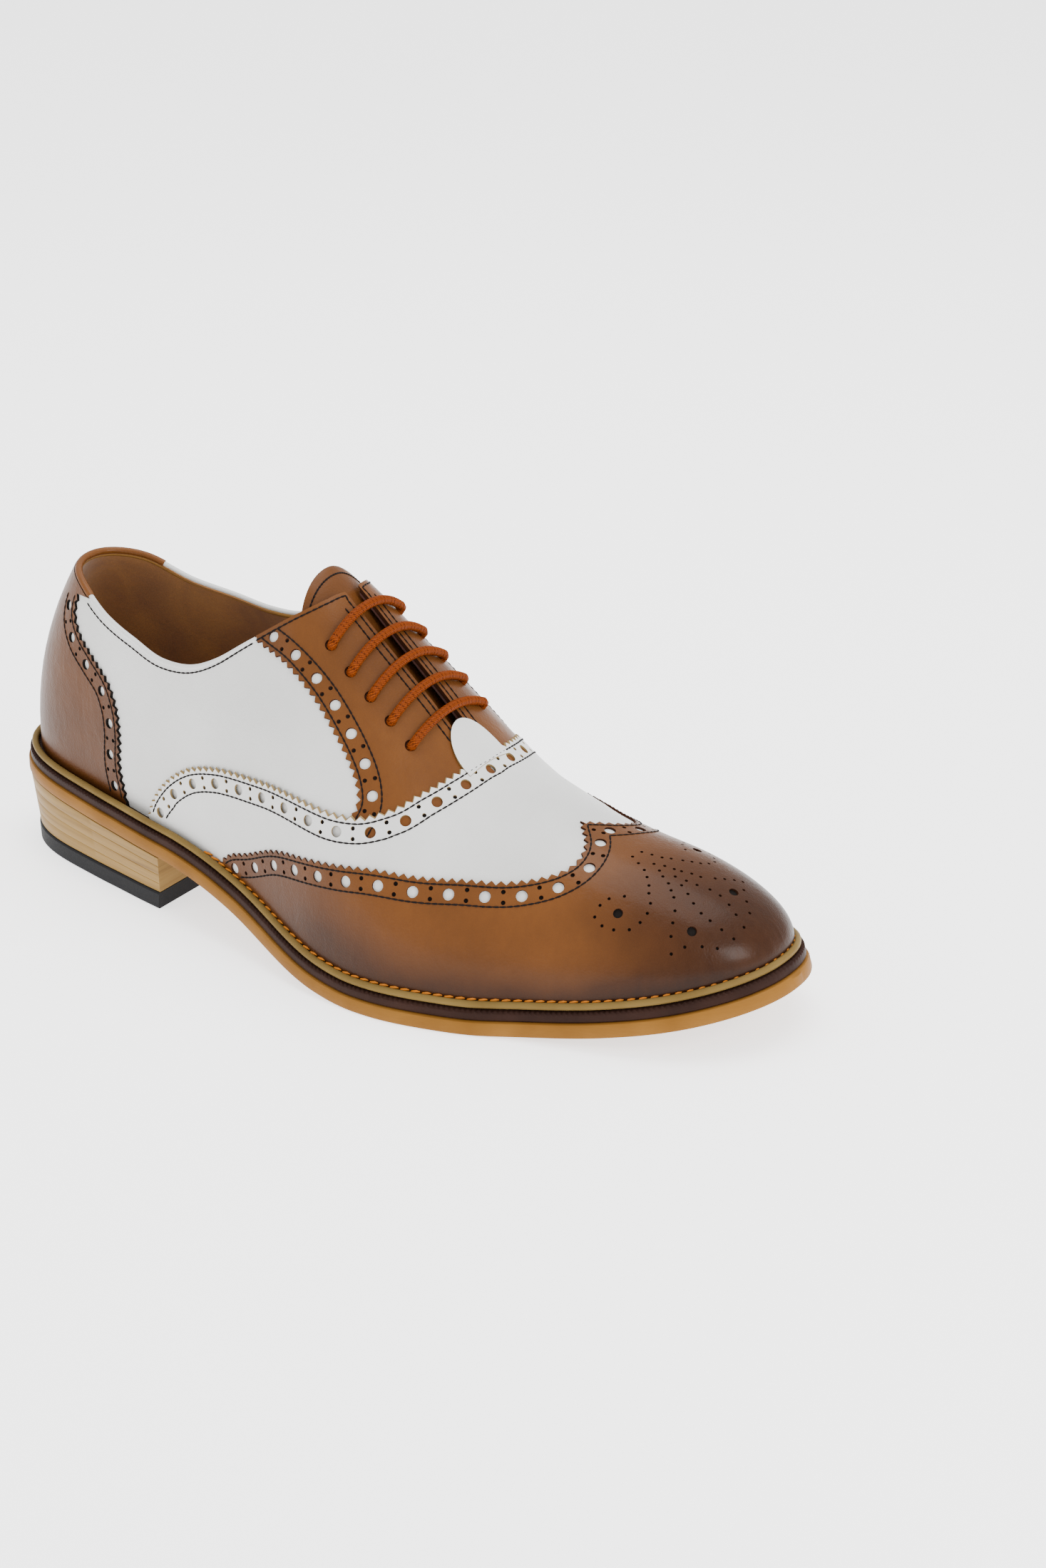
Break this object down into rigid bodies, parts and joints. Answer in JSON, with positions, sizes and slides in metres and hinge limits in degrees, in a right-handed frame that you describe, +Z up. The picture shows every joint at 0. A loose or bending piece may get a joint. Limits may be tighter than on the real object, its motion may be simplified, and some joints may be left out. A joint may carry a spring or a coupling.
{
  "type": "spectator shoe",
  "caption": "Brown and white spectator shoe: a full-brogue lace-up for a man's right foot, with a stacked wood heel.",
  "frame": {"origin": "on the floor, under the middle of the heel", "axes": "+X along the sole from the heel to the toe, +Y to the inner side of the foot, +Z up"},
  "size_m": [0.3035, 0.1093, 0.1179],
  "materials": {
    "heel_rubber": "black, fine matt texture",
    "heel_wood": "pale stacked heel with thin darker lines, satin",
    "sole_leather": "tan leather edge and tread, satin",
    "welt_leather": "dark brown, wheeled and stitched",
    "rand_leather": "beige bead, satin",
    "lining_leather": "mustard-tan lining leather, matt",
    "white_leather": "white smooth leather, semi-gloss",
    "brown_leather": "brown leather, burnished dark at the toe",
    "lace_cord": "waxed orange-brown braided cord"
  },
  "bodies": {
    "root": {"top_piece": "heel_rubber", "heel_block": "heel_wood", "outsole": "sole_leather", "welt": "welt_leather", "rand": "rand_leather", "insole": "lining_leather", "upper": "white_leather", "vamp_panel": "white_leather", "lace_tab": "white_leather", "wing_tip": "brown_leather", "heel_counter": "brown_leather", "facing_lateral": "brown_leather", "facing_medial": "brown_leather", "tongue": "brown_leather", "lace": "lace_cord"}
  },
  "joints": []
}
